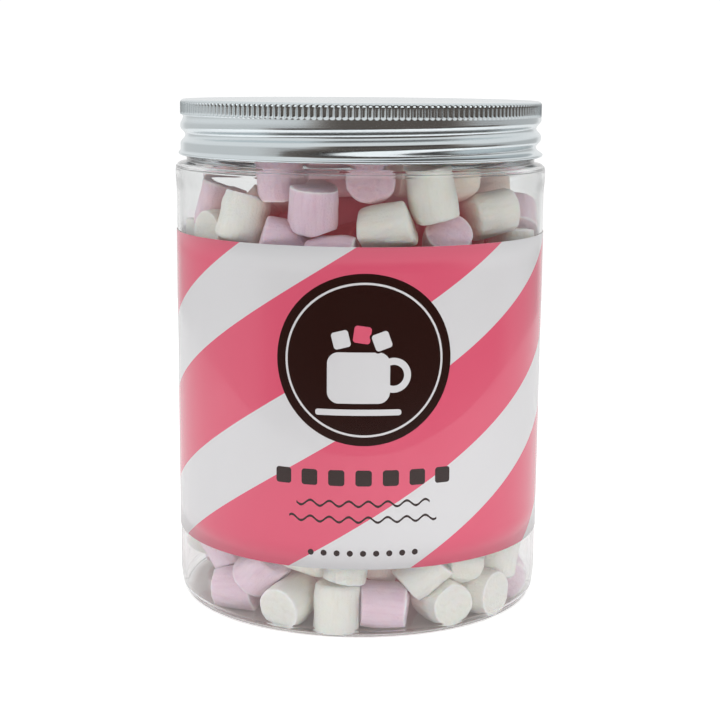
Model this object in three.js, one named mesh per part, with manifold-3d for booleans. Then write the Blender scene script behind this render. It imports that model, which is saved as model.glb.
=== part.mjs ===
// A clear one-litre plastic jar of mini marshmallows, shut with a knurled aluminium screw lid and
// wrapped in a striped paper label. Millimetres, +Z up, origin at the middle of the jar's foot.
import * as THREE from "three";
import { mergeVertices } from "three/addons/utils/BufferGeometryUtils.js";
import Module from "manifold-3d";

const wasm = await Module();
wasm.setup();

// The jar: a blown body with a foot ring, a bead at the shoulder and a straight neck
const BODY_RADIUS = 50.95;
const WALL = 0.9;
const WALL_TOP = 118.5;
const FOOT_OUTER_RADIUS = 48.4;
const FOOT_INNER_RADIUS = 43.5;
const FOOT_FLOOR = 0.5;
const PUSH_UP = 2.6;
const HEEL_HEIGHT = 6;
const SHOULDER_START = 112.5;
const SHOULDER_BEAD = 0.3;
const SHOULDER_BEAD_BOTTOM = 116;
const SHOULDER_BEAD_TOP = 119.5;
const SHOULDER_TOP = 121.1;
const SHOULDER_TOP_RADIUS = 49.75;
const NECK_BEAD_RADIUS = 48.15;
const NECK_BEAD_BOTTOM = 121.6;
const NECK_BEAD_TOP = 122.6;
const NECK_FOOT = 123.1;
const NECK_RADIUS = 47.05;
const RIM_HEIGHT = 137;

// The lid: a flat top, a knurled band, a rolled screw thread and a curled lower edge
const LID_TOP = 138.1;
const LID_BOTTOM = 123.1;
const LID_RADIUS = 49.8;
const LID_BORE_RADIUS = 48.05;
const LID_PLATE = 0.5;
const LID_CORNER = 1;
const CURL_RADIUS = 50.3;
const CURL_MIDDLE = 123.7;
const CURL_TOP = 124.3;
const CURL_FOOT_RADIUS = 50;
const KNURL_BOTTOM = 134.1;
const KNURL_TOP = 137.1;
const KNURL_TEETH = 197;
const KNURL_TIP_RADIUS = 49.65;
const KNURL_DEPTH = 0.5;
const KNURL_SEAT_RADIUS = 49;
const KNURL_RING_RADIUS = 48.6;
const THREAD_PITCH = 5.08;
const THREAD_FRONT_HEIGHT = 129.6;
const THREAD_START = -385;
const THREAD_END = 350;
const THREAD_START_FADE = 60;
const THREAD_END_FADE = 130;
const THREAD_DEPTH = 1.35;
const THREAD_HALF_WIDTH = 2.2;
const THREAD_ROWS = 10;

// The label: a paper wrap whose end laps over its start at the back
const LABEL_BOTTOM = 19.1;
const LABEL_TOP = 102.7;
const LABEL_GAP = 0.06;
const LABEL_THICKNESS = 0.12;
const LABEL_LAP = 14;
const LABEL_LAP_START = 180;

// The marshmallows: short cylinders with soft edges, heaped against the wall
const PIECE_RADIUS = 6.2;
const PIECE_LENGTH = 12.5;
const PIECE_EDGE = 1.3;
const WALL_CLEARANCE = 0.5;
const CAVITY_GAP = 0.25;
const CORE_RADIUS = 41;
const CORE_FOOT_RADIUS = 38;
const CORE_FOOT_TOP = 5;
const CORE_SHOULDER = 109;
const CORE_TOP = 113;
const CORE_TOP_RADIUS = 36;
const HEAP_TOP = 125.5;
const LOWER_BAND = { floor: 0.7, top: 22, dip: 0 };
const UPPER_BAND = { floor: 92, top: 114.5, dip: 12 };
const DIP_ANGLE = 235;
const NEAR = 15;
const LENGTH_SPREAD = 0.12;
const SQUASH = 0.93;
const DROP_STEP = 0.5;
const TRIES = 60;
const SEED = 7;

const ROUND_SIDES = 48;
const PIECE_SIDES = 10;
const CORE_SIDES = 24;
const UP = new THREE.Vector3(0, 0, 1);

// The marshmallows at the front: degrees round the jar from the front, height of the middle,
// degrees of the axis from +X and above the level, distance back from the wall, length
const FRONT_PIECES = [
  [-84, 6.9, 10, 5, 8, 12.5],
  [-51.5, 6.7, -17, 0, 0, 11.5],
  [-24.5, 6.7, 60, 9, 0, 13],
  [-7, 6.9, 0, 87, 0, 13],
  [9.5, 6.7, -4, -2, 0, 12.5],
  [31, 6.7, 120, 0, 0, 12.5],
  [48.7, 6.8, 140, 0, 0, 12.5],
  [74, 7.3, 100, 15, 0, 12.5],
  [-58.5, 16.4, 0, 120, 0, 12.5],
  [-35.5, 15, -42, 40, 0, 12.5],
  [-19, 20.5, 10, -22, 1.5, 12.5],
  [-3.5, 20, 0, 80, 1, 12.5],
  [23.5, 14.9, 5, 46, 0, 12.5],
  [39, 16.4, 30, -10, 1, 12.5],
  [61.5, 14.9, 0, 85, 0, 12.5],
  [-75, 109.9, 0, 78, 3, 13],
  [-66, 103.2, 40, 0, 2.5, 12.5],
  [-45, 108.4, 0, 77, 0, 12.5],
  [-58.5, 108.5, 0, 45, 9, 12.5],
  [-32.3, 119.3, 0, 95, 5, 12.5],
  [-16, 111.2, -73, 80, 0, 12],
  [-27.5, 102, 0, -15, 0, 12.5],
  [-9.4, 98.7, -15, 0, 0, 12.5],
  [4, 119, 90, 0, 7, 12.5],
  [9, 107, -10, 12.5, 0, 13.3],
  [25, 114.8, 180, 78, 0, 13.5],
  [32.7, 101.5, -85, 40, 0, 12.5],
  [53.5, 109.2, 32, 8, 0, 12.8],
  [74, 116, 40, 10, 8, 12.5],
  [88, 106.4, 90, 40, 0, 12.5],
];

function radians(degrees) {
  return THREE.MathUtils.degToRad(degrees);
}

// Revolves a closed outline of (radius, height) points about the vertical axis
function turned(outline, sides) {
  return new THREE.LatheGeometry(outline, sides).rotateX(Math.PI / 2);
}

// A closed mesh as a solid that can be joined and cut
function solidOf(geometry) {
  const bare = geometry.clone();
  bare.deleteAttribute("normal");
  bare.deleteAttribute("uv");
  const merged = mergeVertices(bare, 1e-4);
  return new wasm.Manifold(
    new wasm.Mesh({
      numProp: 3,
      vertProperties: new Float32Array(merged.attributes.position.array),
      triVerts: new Uint32Array(merged.index.array),
    }),
  );
}

// The solid as a geometry again
function geometryOf(solid) {
  const { vertProperties, triVerts, numProp } = solid.getMesh();
  const geometry = new THREE.BufferGeometry();
  geometry.setAttribute("position", new THREE.BufferAttribute(vertProperties, numProp));
  geometry.setIndex(new THREE.BufferAttribute(triVerts, 1));
  geometry.computeVertexNormals();
  return geometry;
}

// The inside of the jar as an outline from the neck down to the middle of the floor, `gap` clear
// of the wall
function cavityOutline(gap) {
  const radius = BODY_RADIUS - WALL - gap;
  const neck = NECK_RADIUS - WALL - gap;
  const floor = FOOT_FLOOR + gap;
  const heel = HEEL_HEIGHT - 1;
  const foot = FOOT_OUTER_RADIUS - gap;
  return new THREE.Path()
    .moveTo(neck, RIM_HEIGHT)
    .lineTo(neck, NECK_BEAD_TOP)
    .lineTo(radius, WALL_TOP)
    .lineTo(radius, heel)
    .absellipse(foot, heel, radius - foot, heel - floor, 0, -Math.PI / 2, true)
    .lineTo(FOOT_INNER_RADIUS, floor)
    .lineTo(0, floor + PUSH_UP)
    .getPoints(3);
}

function jarGeometry() {
  const bead = BODY_RADIUS + SHOULDER_BEAD;
  const heelWidth = BODY_RADIUS - FOOT_OUTER_RADIUS;
  const outside = new THREE.Path()
    .moveTo(0, PUSH_UP)
    .lineTo(FOOT_INNER_RADIUS, 0)
    .lineTo(FOOT_OUTER_RADIUS, 0)
    .absellipse(FOOT_OUTER_RADIUS, HEEL_HEIGHT, heelWidth, HEEL_HEIGHT, -Math.PI / 2, 0, false)
    .lineTo(BODY_RADIUS, SHOULDER_START)
    .lineTo(bead, SHOULDER_BEAD_BOTTOM)
    .lineTo(bead, SHOULDER_BEAD_TOP)
    .lineTo(SHOULDER_TOP_RADIUS, SHOULDER_TOP)
    .lineTo(NECK_BEAD_RADIUS, NECK_BEAD_BOTTOM)
    .lineTo(NECK_BEAD_RADIUS, NECK_BEAD_TOP)
    .lineTo(NECK_RADIUS, NECK_FOOT)
    .lineTo(NECK_RADIUS, RIM_HEIGHT)
    .getPoints(3);
  return turned([...outside, ...cavityOutline(0)], ROUND_SIDES);
}

// How deep the rolled thread lies at an angle in degrees and a height, from any of its turns
function threadDepth(angle, height) {
  let depth = 0;
  for (const turn of [-720, -360, 0, 360]) {
    const along = angle + turn;
    if (along < THREAD_START || along > THREAD_END) continue;
    const middle = THREAD_FRONT_HEIGHT + (THREAD_PITCH * along) / 360;
    const across = Math.abs(height - middle) / THREAD_HALF_WIDTH;
    if (across >= 1) continue;
    const fadeIn = (along - THREAD_START) / THREAD_START_FADE;
    const fadeOut = (THREAD_END - along) / THREAD_END_FADE;
    const fade = Math.min(1, fadeIn, fadeOut);
    depth = Math.max(depth, (THREAD_DEPTH * fade * (1 + Math.cos(Math.PI * across))) / 2);
  }
  return depth;
}

function lidGeometry() {
  const threadRow = (KNURL_BOTTOM - CURL_TOP) / THREAD_ROWS;
  const outline = [
    new THREE.Vector2(0, LID_TOP - LID_PLATE),
    new THREE.Vector2(LID_BORE_RADIUS, LID_TOP - LID_PLATE),
    new THREE.Vector2(LID_BORE_RADIUS, LID_BOTTOM),
    new THREE.Vector2(CURL_FOOT_RADIUS, LID_BOTTOM),
    new THREE.Vector2(CURL_RADIUS, CURL_MIDDLE),
  ];
  for (let row = 0; row < THREAD_ROWS; row += 1)
    outline.push(new THREE.Vector2(LID_RADIUS, CURL_TOP + row * threadRow));
  outline.push(new THREE.Vector2(LID_RADIUS, KNURL_BOTTOM));
  const corner = new THREE.Path()
    .absarc(LID_RADIUS - LID_CORNER, LID_TOP - LID_CORNER, LID_CORNER, 0, Math.PI / 2, false)
    .getPoints(2);
  outline.push(...corner, new THREE.Vector2(0, LID_TOP));
  const shell = turned(outline, ROUND_SIDES);
  const points = shell.attributes.position;
  for (let i = 0; i < points.count; i += 1) {
    const [x, y, z] = [points.getX(i), points.getY(i), points.getZ(i)];
    const radius = Math.hypot(x, y);
    const inThread = z > CURL_MIDDLE && z < KNURL_BOTTOM - threadRow / 2;
    if (!inThread || radius < LID_RADIUS - LID_CORNER) continue;
    const angle = THREE.MathUtils.radToDeg(Math.atan2(x, -y));
    const scale = (radius - threadDepth(angle, z)) / radius;
    points.setXY(i, x * scale, y * scale);
  }

  const star = new THREE.Shape();
  for (let i = 0; i < 2 * KNURL_TEETH; i += 1) {
    const angle = (Math.PI * i) / KNURL_TEETH;
    const radius = KNURL_TIP_RADIUS - (i % 2) * KNURL_DEPTH;
    if (i === 0) star.moveTo(radius, 0);
    else star.lineTo(radius * Math.cos(angle), radius * Math.sin(angle));
  }
  const hole = new THREE.Path();
  hole.absarc(0, 0, KNURL_RING_RADIUS, 0, 2 * Math.PI, true);
  star.holes.push(hole);
  const band = new THREE.ExtrudeGeometry(star, {
    depth: KNURL_TOP - KNURL_BOTTOM,
    bevelEnabled: false,
    curveSegments: ROUND_SIDES / 4,
  }).translate(0, 0, KNURL_BOTTOM);
  const outsideRadius = BODY_RADIUS + WALL;
  const seat = turned(
    new THREE.Path()
      .moveTo(KNURL_SEAT_RADIUS, KNURL_BOTTOM)
      .lineTo(outsideRadius, KNURL_BOTTOM)
      .lineTo(outsideRadius, KNURL_TOP)
      .lineTo(KNURL_SEAT_RADIUS, KNURL_TOP)
      .lineTo(KNURL_SEAT_RADIUS, KNURL_BOTTOM)
      .getPoints(),
    ROUND_SIDES,
  );
  return geometryOf(solidOf(shell).subtract(solidOf(seat)).add(solidOf(band)));
}

// The wrap is one strip: its radius steps up by a thickness where it laps over itself
function labelGeometry() {
  const inner = BODY_RADIUS + LABEL_GAP;
  const step = 360 / ROUND_SIDES;
  const strip = [];
  for (let angle = 0; angle < 360 + LABEL_LAP + step; angle += step) {
    const lift = angle < 360 ? 0 : LABEL_THICKNESS + LABEL_GAP / 2;
    const stop = LABEL_LAP_START + Math.min(angle, 360 + LABEL_LAP);
    strip.push([radians(stop), inner + lift]);
  }
  const at = ([angle, radius], extra) =>
    new THREE.Vector2((radius + extra) * Math.sin(angle), -(radius + extra) * Math.cos(angle));
  const outline = [
    ...strip.map((stop) => at(stop, LABEL_THICKNESS)),
    ...strip.reverse().map((stop) => at(stop, 0)),
  ];
  return new THREE.ExtrudeGeometry(new THREE.Shape(outline), {
    depth: LABEL_TOP - LABEL_BOTTOM,
    bevelEnabled: false,
  }).translate(0, 0, LABEL_BOTTOM);
}

// A marshmallow against the wall at an angle, its axis turned and tilted
function marshmallow(angle, height, azimuth, tilt, setBack, length) {
  const axis = new THREE.Vector3(
    Math.cos(radians(azimuth)) * Math.cos(radians(tilt)),
    Math.sin(radians(azimuth)) * Math.cos(radians(tilt)),
    Math.sin(radians(tilt)),
  );
  const outward = new THREE.Vector3(Math.sin(radians(angle)), -Math.cos(radians(angle)), 0);
  const piece = { axis, length };
  const wall = BODY_RADIUS - WALL - WALL_CLEARANCE;
  piece.middle = outward.clone().multiplyScalar(wall - reach(piece, outward) - setBack);
  piece.middle.z = height;
  return piece;
}

// How far a marshmallow reaches from its middle along a direction
function reach(piece, direction) {
  const along = Math.abs(piece.axis.dot(direction));
  const across = Math.sqrt(Math.max(0, 1 - along * along));
  const ends = (piece.length / 2 - PIECE_EDGE) * along;
  return ends + (PIECE_RADIUS - PIECE_EDGE) * across + PIECE_EDGE;
}

// The level distance between two marshmallows
function sideways(piece, other) {
  return Math.hypot(piece.middle.x - other.middle.x, piece.middle.y - other.middle.y);
}

function crowds(piece, other) {
  const between = other.middle.clone().sub(piece.middle);
  const distance = between.length();
  between.divideScalar(distance);
  return distance < SQUASH * (reach(piece, between) + reach(other, between));
}

// Drops seeded marshmallows down the wall, each to the lowest of many places, till the band is
// full. Its top dips by up to `dip` about one direction.
function fillBand(heap, random, { floor, top, dip }) {
  for (;;) {
    let lowest = null;
    for (let i = 0; i < TRIES; i += 1) {
      const [angle, azimuth, tilt] = [360 * random(), 360 * random(), 180 * random() - 90];
      const length = PIECE_LENGTH * (1 + LENGTH_SPREAD * (random() - 0.5));
      const piece = marshmallow(angle, floor, azimuth, tilt, 0, length);
      const near = heap.filter((other) => sideways(piece, other) < NEAR);
      const localTop = top - dip * Math.max(0, Math.cos(radians(angle - DIP_ANGLE)));
      const ceiling = lowest ? Math.min(lowest.middle.z, localTop) : localTop;
      piece.middle.z += reach(piece, UP);
      while (piece.middle.z < ceiling && near.some((other) => crowds(piece, other)))
        piece.middle.z += DROP_STEP;
      if (piece.middle.z < ceiling) lowest = piece;
    }
    if (!lowest) return;
    heap.push(lowest);
  }
}

function marshmallowsGeometry() {
  let state = SEED;
  const random = () => {
    state = (state * 1664525 + 1013904223) % 2 ** 32;
    return state / 2 ** 32;
  };
  const heap = FRONT_PIECES.map((values) => marshmallow(...values));
  fillBand(heap, random, LOWER_BAND);
  fillBand(heap, random, UPPER_BAND);

  const pieces = heap.map(({ axis, middle, length }) => {
    const half = length / 2;
    const outline = new THREE.Path()
      .moveTo(0, -half)
      .lineTo(PIECE_RADIUS - PIECE_EDGE, -half)
      .lineTo(PIECE_RADIUS, PIECE_EDGE - half)
      .lineTo(PIECE_RADIUS, half - PIECE_EDGE)
      .lineTo(PIECE_RADIUS - PIECE_EDGE, half)
      .lineTo(0, half)
      .getPoints();
    const turn = new THREE.Quaternion().setFromUnitVectors(new THREE.Vector3(0, 1, 0), axis);
    const body = new THREE.LatheGeometry(outline, PIECE_SIDES);
    return solidOf(body.applyQuaternion(turn).translate(middle.x, middle.y, middle.z));
  });
  const core = turned(
    new THREE.Path()
      .moveTo(0, FOOT_FLOOR + PUSH_UP + CAVITY_GAP)
      .lineTo(CORE_FOOT_RADIUS, FOOT_FLOOR + 2 * CAVITY_GAP)
      .lineTo(CORE_RADIUS, CORE_FOOT_TOP)
      .lineTo(CORE_RADIUS, CORE_SHOULDER)
      .lineTo(CORE_TOP_RADIUS, CORE_TOP)
      .lineTo(0, CORE_TOP)
      .getPoints(),
    CORE_SIDES,
  );
  const cavity = [
    new THREE.Vector2(0, HEAP_TOP),
    new THREE.Vector2(NECK_RADIUS - WALL - CAVITY_GAP, HEAP_TOP),
    ...cavityOutline(CAVITY_GAP).slice(1),
  ].reverse();
  const joined = wasm.Manifold.union([solidOf(core), ...pieces]);
  return geometryOf(joined.intersect(solidOf(turned(cavity, ROUND_SIDES))));
}

function part(name, geometry, colour, roughness, metalness, opacity = 1) {
  const material = new THREE.MeshStandardMaterial({ color: colour, roughness, metalness });
  material.opacity = opacity;
  material.transparent = opacity < 1;
  const mesh = new THREE.Mesh(geometry, material);
  mesh.name = name;
  return mesh;
}

const jarOfMarshmallows = new THREE.Group();
jarOfMarshmallows.add(part("jar", jarGeometry(), 0xf4f7f8, 0.08, 0, 0.25));
jarOfMarshmallows.add(part("lid", lidGeometry(), 0xc8c9ca, 0.32, 1));
jarOfMarshmallows.add(part("label", labelGeometry(), 0xe0607c, 0.45, 0));
jarOfMarshmallows.add(part("marshmallows", marshmallowsGeometry(), 0xeee3e4, 0.85, 0));

export default jarOfMarshmallows;
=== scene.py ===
import math

import bmesh
import bpy
from mathutils import Matrix, Vector, noise


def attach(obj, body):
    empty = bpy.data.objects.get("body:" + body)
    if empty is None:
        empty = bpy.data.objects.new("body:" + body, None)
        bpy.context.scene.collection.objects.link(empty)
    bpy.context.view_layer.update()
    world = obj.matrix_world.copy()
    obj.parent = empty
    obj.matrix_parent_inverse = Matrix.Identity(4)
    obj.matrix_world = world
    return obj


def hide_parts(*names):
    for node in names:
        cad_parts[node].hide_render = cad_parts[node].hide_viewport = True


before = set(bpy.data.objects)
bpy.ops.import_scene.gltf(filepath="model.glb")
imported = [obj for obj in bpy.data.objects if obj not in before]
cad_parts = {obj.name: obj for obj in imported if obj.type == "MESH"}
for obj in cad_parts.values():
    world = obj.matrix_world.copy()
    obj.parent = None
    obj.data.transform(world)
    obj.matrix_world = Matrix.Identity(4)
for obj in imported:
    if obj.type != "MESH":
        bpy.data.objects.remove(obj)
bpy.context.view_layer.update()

MM = 0.001

# The camera: a long lens straight in front of the jar, a little above its lid and tipped down.
# The photograph leans a little, so the camera is rolled by the same amount.
CAMERA_LENS = 78.5
CAMERA_PLACE = (0, -440.4, 145.45)
CAMERA_TIP = 10.37
CAMERA_ROLL = 0.44
CAMERA_PAN = 0.036

camera = bpy.data.objects.new("camera", bpy.data.cameras.new("camera"))
camera.data.lens = CAMERA_LENS
camera.data.clip_start = 0.01
camera.matrix_world = (
    Matrix.Translation(Vector(CAMERA_PLACE) * MM)
    @ Matrix.Rotation(math.radians(-CAMERA_PAN), 4, "Z")
    @ Matrix.Rotation(math.radians(90 - CAMERA_TIP), 4, "X")
    @ Matrix.Rotation(math.radians(CAMERA_ROLL), 4, "Z")
)
bpy.context.scene.collection.objects.link(camera)
bpy.context.scene.camera = camera


# The studio: a round white table in a white room, under four soft lamps. Behind the jar hangs a
# bright backdrop, and low down in front, where the camera stands, the room is dark and a little
# warm. Where the jar stands, the table carries a rosy painted shadow: its glow is dimmed there.
WHITE = "#FFFFFF"
TABLE_WHITE = "#F4F4F4"
TABLE_RADIUS = 420
TABLE_BACK = 170
TABLE_SIDES = 96
TABLE_GLOW = 0.5
FOOTPRINT_SHADOW_GLOW = 0.06
FOOTPRINT_EDGE = (46, 50)
FOOTPRINT_SHADOW_TONE = "#E8D3CD"
SEEN_THROUGH = 0.35
GROUND_WHITE = 1.05
BACKDROP = 0.88
BACKDROP_EDGE = (0.82, 0.92)
CEILING = 0.86
CEILING_EDGE = (0.0, 0.3)
LEFT_SIDE = 0.67
RIGHT_SIDE = 0.54
DARK_TONE = "#FFECE0"
DARK_TURN = 20
DARK_EDGE = (0.5, 0.86)
DARK_AHEAD = 0.12
DARK_BELOW = 0.02
DARK_BELOW_EDGE = (-0.5, -0.2)
DARK_ABOVE = 0.02
DARK_ABOVE_EDGE = (0.05, 0.2)
DARK_TOP_EDGE = (0.3, 0.65)
LOW_SPREAD = 0.5
LOW_EDGE = (-0.08, -0.05)
LAMP_AIM = (0, 0, 70)
TOP_LIGHT = {"place": (130, -200, 600), "size": (520, 260), "power": 0.34}
FRONT_LIGHT = {"place": (60, -340, 25), "size": (300, 80), "power": 0.34}
LEFT_LIGHT = {"place": (-330, -80, 160), "size": (220, 260), "power": 0.27}
RIGHT_LIGHT = {"place": (300, -170, 160), "size": (220, 260), "power": 0.26}


def hexed(colour):
    """An sRGB hex colour as linear red, green and blue, with full alpha."""
    parts = [int(colour[i : i + 2], 16) / 255 for i in (1, 3, 5)]
    return [c / 12.92 if c <= 0.04045 else ((c + 0.055) / 1.055) ** 2.4 for c in parts] + [1.0]


def node(tree, kind, values=None, links=None, **settings):
    """Adds a node, sets its properties and input values, and links its inputs to sockets."""
    made = tree.nodes.new("ShaderNode" + kind)
    for name, value in settings.items():
        setattr(made, name, value)
    for name, value in (values or {}).items():
        made.inputs[name].default_value = value
    for name, socket in (links or {}).items():
        tree.links.new(socket, made.inputs[name])
    return made


def blank_material(name):
    """A new material with an empty node tree."""
    material = bpy.data.materials.new(name)
    material.use_nodes = True
    material.node_tree.nodes.clear()
    return material


def placed(name, bm):
    """A finished bmesh as an object in the scene."""
    mesh = bpy.data.meshes.new(name)
    bm.to_mesh(mesh)
    bm.free()
    made = bpy.data.objects.new(name, mesh)
    bpy.context.scene.collection.objects.link(made)
    return made


def softbox(name, place, size, power):
    """A soft rectangular lamp aimed at the jar. Only its light is seen."""
    light = bpy.data.lights.new(name, "AREA")
    light.shape = "RECTANGLE"
    light.size = size[0] * MM
    light.size_y = size[1] * MM
    light.energy = power
    box = bpy.data.objects.new(name, light)
    box.location = Vector(place) * MM
    aim = Vector(LAMP_AIM) * MM - box.location
    box.rotation_euler = aim.to_track_quat("-Z", "Y").to_euler()
    box.visible_camera = False
    box.visible_glossy = False
    box.visible_transmission = False
    bpy.context.scene.collection.objects.link(box)


softbox("softbox_top", **TOP_LIGHT)
softbox("softbox_front", **FRONT_LIGHT)
softbox("softbox_left", **LEFT_LIGHT)
softbox("softbox_right", **RIGHT_LIGHT)

world = bpy.data.worlds.new("white_room")
world.use_nodes = True
bpy.context.scene.world = world
tree = world.node_tree
tree.nodes.clear()
direction = node(tree, "TexCoord").outputs["Generated"]
toward = node(tree, "SeparateXYZ", links={"Vector": direction}).outputs


def fade(source, low, high, out_low, out_high):
    """A soft step from one output value to another in the current tree, as a socket's value rises
    from low to high."""
    made = node(
        tree, "MapRange", interpolation_type="SMOOTHSTEP", links={"Value": source},
        values={"From Min": low, "From Max": high},
    )
    for name, value in (("To Min", out_low), ("To Max", out_high)):
        if isinstance(value, (int, float)):
            made.inputs[name].default_value = value
        else:
            tree.links.new(value, made.inputs[name])
    return made.outputs["Result"]


dark_heading = (math.sin(math.radians(DARK_TURN)), -math.cos(math.radians(DARK_TURN)), 0)
ahead = node(
    tree, "VectorMath", operation="DOT_PRODUCT", links={0: direction}, values={1: dark_heading},
).outputs["Value"]
side_walls = fade(toward["X"], -1.0, 1.0, LEFT_SIDE, RIGHT_SIDE)
upper = fade(toward["Z"], *CEILING_EDGE, side_walls, CEILING)
spread = fade(toward["Z"], *LOW_EDGE, LOW_SPREAD, 0.0)
ahead = node(tree, "Math", operation="ADD", links={0: ahead, 1: spread}).outputs[0]
dark = fade(toward["Z"], *DARK_BELOW_EDGE, DARK_BELOW, DARK_AHEAD)
dark = fade(toward["Z"], *DARK_ABOVE_EDGE, dark, DARK_ABOVE)
darkness = fade(ahead, *DARK_EDGE, 0.0, fade(toward["Z"], *DARK_TOP_EDGE, 1.0, 0.0))
strength = node(
    tree, "Mix", links={"Factor": darkness, "A": upper, "B": dark},
).outputs["Result"]
strength = fade(toward["Y"], *BACKDROP_EDGE, strength, BACKDROP)
direct = node(tree, "LightPath").outputs["Is Camera Ray"]
strength = fade(direct, 0.0, 1.0, strength, GROUND_WHITE)
tone = node(
    tree, "Mix", data_type="RGBA", links={"Factor": fade(direct, 0.0, 1.0, darkness, 0.0)},
    values={"A": hexed(WHITE), "B": hexed(DARK_TONE)},
).outputs["Result"]
room = node(tree, "Background", links={"Strength": strength, "Color": tone}).outputs["Background"]
node(tree, "OutputWorld", links={"Surface": room})
bpy.context.scene.view_settings.view_transform = "Standard"

bm = bmesh.new()
bmesh.ops.create_circle(bm, cap_ends=True, segments=TABLE_SIDES, radius=TABLE_RADIUS * MM)
bmesh.ops.translate(bm, verts=bm.verts, vec=(0, TABLE_BACK * MM, 0))
table_top = placed("table_top", bm)

white_table = blank_material("white_table")
tree = white_table.node_tree
level = node(
    tree, "VectorMath", operation="MULTIPLY", links={0: node(tree, "TexCoord").outputs["Object"]},
    values={1: (1, 1, 0)},
).outputs["Vector"]
from_jar = node(tree, "VectorMath", operation="LENGTH", links={0: level}).outputs["Value"]
footprint_edge = [radius * MM for radius in FOOTPRINT_EDGE]
ray = node(tree, "LightPath").outputs
indirect = node(
    tree, "Math", operation="MAXIMUM",
    links={0: ray["Is Transmission Ray"], 1: ray["Is Glossy Ray"]},
).outputs[0]
seen = node(
    tree, "Math", operation="MULTIPLY_ADD", values={1: SEEN_THROUGH},
    links={0: indirect, 2: ray["Is Camera Ray"]},
).outputs[0]
# Painted shadow under the jar: there the table's glow drops and its colour turns rosy.
table_glow = node(
    tree, "Math", operation="MULTIPLY",
    links={0: seen, 1: fade(from_jar, *footprint_edge, FOOTPRINT_SHADOW_GLOW, TABLE_GLOW)},
).outputs[0]
table_tone = node(
    tree, "Mix", data_type="RGBA", links={"Factor": fade(from_jar, *footprint_edge, 0.0, 1.0)},
    values={"A": hexed(FOOTPRINT_SHADOW_TONE), "B": hexed(TABLE_WHITE)},
).outputs["Result"]
matt_top = node(
    tree, "BsdfPrincipled", links={"Base Color": table_tone, "Emission Strength": table_glow},
    values={"Roughness": 0.9, "Emission Color": hexed(WHITE)},
).outputs["BSDF"]
node(tree, "OutputMaterial", links={"Surface": matt_top})
table_top.data.materials.append(white_table)


# The jar: one piece of clear PET, blown into a mould, with a thin even wall. It stands on a
# narrow foot ring round a pushed-up base, and has a bead at the shoulder under a straight neck.
BODY_RADIUS = 50.95
WALL = 0.9
WALL_ROWS = (20, 60, 100)
FOOT_RADII = (43.5, 48.4)
FOOT_FLOOR = 0.5
FOOT_SLOPE = (4, 0.9)
PUSH_UP = 2.6
PUSH_UP_EDGE = (20, 0.4)
HEEL_HEIGHT = 6.0
HEEL_WALL = 1.0
HEEL_RIDGE = 0.12
SHOULDER = 112.5
BEAD = 0.3
BEAD_RISE = 6
BEAD_STEPS = 8
BEAD_CROWN = (0.3, 2.2)
LEDGE = (1.5, 1.2)
LEDGE_RISE = 7.4
FILLET = 1.0
FILLET_RISE = 6.7
FILLET_FOOT = 3
NECK_BEAD_RADIUS = 48.15
NECK_BEAD_TOP = 122.6
NECK_BEAD_ROUND = 0.5
NECK_BEAD_FOOT = 0.8
NECK_RADIUS = 47.05
NECK_FOOT = 0.6
CAVITY_NECK_FOOT = 0.4
RIM = 137.0
ROUND_STEPS = 256

# Degrees round the heel where its two fine mould ridges lie, and the steps up to each
HEEL_RIDGES = ((-64, 4), (-38, 3))
HEEL_LAST_STEPS = 6
RIDGE_CREST = 1
RIDGE_FOOT = 4


def arc(centre, size, start, end, steps):
    """Points on an elliptic arc about centre, from start to end in degrees."""
    points = []
    for i in range(steps + 1):
        angle = math.radians(start + (end - start) * i / steps)
        points.append((centre[0] + size[0] * math.cos(angle), centre[1] + size[1] * math.sin(angle)))
    return points


def turned(name, outline, steps):
    """An outline of (radius, height) in mm, turned about the jar's axis as on a lathe."""
    rows = outline if outline[0][0] == 0 else outline + outline[:1]
    bm = bmesh.new()
    bmesh.ops.create_grid(bm, x_segments=steps, y_segments=len(rows) - 1, size=0.5)
    for vert in bm.verts:
        radius, height = rows[round((vert.co.y + 0.5) * (len(rows) - 1))]
        angle = 2 * math.pi * (vert.co.x + 0.5)
        vert.co = Vector((radius * math.sin(angle), -radius * math.cos(angle), height)) * MM
    bmesh.ops.remove_doubles(bm, verts=bm.verts, dist=1e-6)
    bmesh.ops.recalc_face_normals(bm, faces=bm.faces)
    piece = placed(name, bm)
    piece.data.shade_smooth()
    return piece


def base_outline(floor):
    """The pushed-up base from its middle out to the foot ring, whose height is the floor's."""
    middle = floor + PUSH_UP
    return [
        (0, middle), (PUSH_UP_EDGE[0], middle - PUSH_UP_EDGE[1]),
        (FOOT_RADII[0] - FOOT_SLOPE[0], floor + FOOT_SLOPE[1]), (FOOT_RADII[0], floor),
    ]


def cavity_outline():
    """The inside of the jar from the rim down to the middle of the floor."""
    radius = BODY_RADIUS - WALL
    neck = NECK_RADIUS - WALL
    heel = HEEL_HEIGHT - HEEL_WALL
    foot = FOOT_RADII[1]
    wall_rows = (SHOULDER + FILLET_FOOT, SHOULDER, WALL_ROWS[1], WALL_ROWS[0])
    return (
        [(neck, RIM), (neck, NECK_BEAD_TOP - CAVITY_NECK_FOOT)]
        + arc((radius - FILLET, SHOULDER + FILLET_RISE), (FILLET, FILLET), 55, 0, 6)
        + [(radius, z) for z in wall_rows]
        + arc((foot, heel), (radius - foot, heel - FOOT_FLOOR), 0, -90, 12)
        + base_outline(FOOT_FLOOR)[::-1]
    )


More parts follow.
